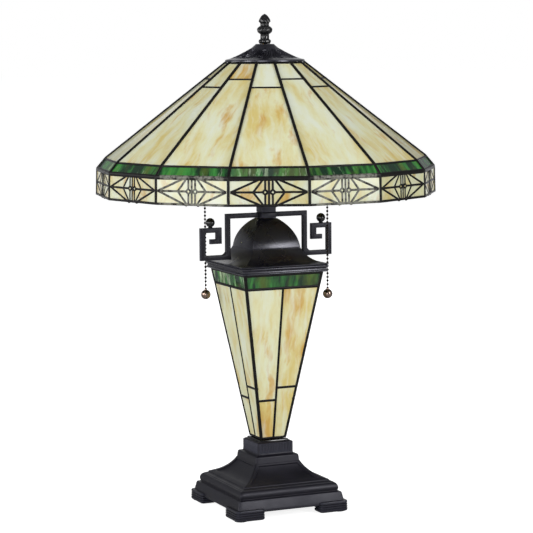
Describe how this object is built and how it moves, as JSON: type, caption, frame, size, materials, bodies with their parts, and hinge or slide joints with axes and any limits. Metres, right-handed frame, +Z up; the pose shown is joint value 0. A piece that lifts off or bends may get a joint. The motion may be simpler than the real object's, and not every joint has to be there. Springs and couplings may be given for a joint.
{
  "type": "table lamp",
  "caption": "Table lamp with a square, tapered, leaded glass column on a stepped cast base, key-shaped scroll arms and a many-sided leaded glass shade with pull chains.",
  "frame": {"origin": "centre of the base on the surface that it stands on", "axes": "+Z up; -Y is the front of the square base; +X points to the right-hand scroll arm"},
  "size_m": [0.4576, 0.4508, 0.667],
  "materials": {
    "cast_bronze": "cast metal with a satin charcoal bronze patina",
    "black_gloss": "glossy black bronze finish",
    "chain": "dark bronze plated bead chain",
    "lead": "soldered came with a dark bronze patina",
    "steel_plate": "black painted sheet",
    "rubber": "matte",
    "nylon": "moulded",
    "brass": "satin",
    "column_glass": "opalescent cream and amber glass with streaks",
    "band_glass": "dark green opalescent glass",
    "cream_glass": "opalescent cream glass with amber streaks",
    "bulb_glass": "frosted bulb glass"
  },
  "bodies": {
    "lamp": {"base_casting": "cast_bronze", "base_cover_plate": "steel_plate", "foot_pad_front_left": "rubber", "foot_pad_front_right": "rubber", "foot_pad_back_right": "rubber", "foot_pad_back_left": "rubber", "base_locknut": "brass", "cord_inlet_bush": "nylon", "column_foot_ring": "cast_bronze", "column_frame": "lead", "column_glass_front": "column_glass", "column_glass_right": "column_glass", "column_glass_back": "column_glass", "column_glass_left": "column_glass", "column_green_band": "band_glass", "column_top_rim": "cast_bronze", "roof_flare": "cast_bronze", "roof_dome": "cast_bronze", "neck_collar": "cast_bronze", "neck_tube": "cast_bronze", "arm_left": "cast_bronze", "arm_right": "cast_bronze", "arm_ball_left": "black_gloss", "arm_ball_right": "black_gloss", "lamp_pipe": "brass", "nightlight_holder": "brass", "nightlight_bulb": "bulb_glass", "cluster_body": "black_gloss", "socket_left": "brass", "socket_right": "brass", "shade_seat_nut": "brass"},
    "left_pull_link": {"pull_link_left": "chain"},
    "right_pull_link": {"pull_link_right": "chain"},
    "left_chain": {"pull_chain_left": "chain", "chain_ball_left": "black_gloss"},
    "right_chain": {"pull_chain_right": "chain", "chain_ball_right": "black_gloss"},
    "left_bulb": {"bulb_left": "bulb_glass"},
    "right_bulb": {"bulb_right": "bulb_glass"},
    "shade_seat": {"shade_spider": "brass"},
    "shade": {"shade_frame": "lead", "shade_green_band": "band_glass", "shade_apron": "cream_glass", "shade_cap": "cast_bronze", "shade_panel_01": "cream_glass", "shade_panel_02": "cream_glass", "shade_panel_03": "cream_glass", "shade_panel_04": "cream_glass", "shade_panel_05": "cream_glass", "shade_panel_06": "cream_glass", "shade_panel_07": "cream_glass", "shade_panel_08": "cream_glass", "shade_panel_09": "cream_glass", "shade_panel_10": "cream_glass", "shade_panel_11": "cream_glass", "shade_panel_12": "cream_glass", "shade_panel_13": "cream_glass", "shade_panel_14": "cream_glass"},
    "finial": {"finial": "black_gloss"}
  },
  "joints": [
    {"name": "left_pull", "type": "slide", "parent": "lamp", "child": "left_pull_link", "axis": [0, 0, -1], "range_m": [0, 0.01], "stiffness_N_per_m": 500},
    {"name": "left_swing", "type": "hinge", "parent": "left_pull_link", "child": "left_chain", "pos_m": [-0.07524, 0.03359, 0.4243], "axis": [0.4077, 0.9131, 0], "range_deg": [-5, 25]},
    {"name": "left_bulb_turn", "type": "hinge", "parent": "lamp", "child": "left_bulb", "pos_m": [-0.08218, 0.03669, 0.462], "axis": [-0.9131, 0.4077, 0], "continuous": true},
    {"name": "right_pull", "type": "slide", "parent": "lamp", "child": "right_pull_link", "axis": [0, 0, -1], "range_m": [0, 0.01], "stiffness_N_per_m": 500},
    {"name": "right_swing", "type": "hinge", "parent": "right_pull_link", "child": "right_chain", "pos_m": [0.07524, -0.03359, 0.4243], "axis": [-0.4077, -0.9131, 0], "range_deg": [-5, 25]},
    {"name": "right_bulb_turn", "type": "hinge", "parent": "lamp", "child": "right_bulb", "pos_m": [0.08218, -0.03669, 0.462], "axis": [0.9131, -0.4077, 0], "continuous": true},
    {"name": "shade_turn", "type": "hinge", "parent": "lamp", "child": "shade_seat", "pos_m": [0, 0, 0.597], "axis": [0, 0, 1], "continuous": true},
    {"name": "shade_lift", "type": "slide", "parent": "shade_seat", "child": "shade", "axis": [0, 0, 1], "range_m": [0, 0.23]},
    {"name": "finial_turn", "type": "hinge", "parent": "shade", "child": "finial", "pos_m": [0, 0, 0.6274], "axis": [0, 0, 1], "continuous": true}
  ]
}
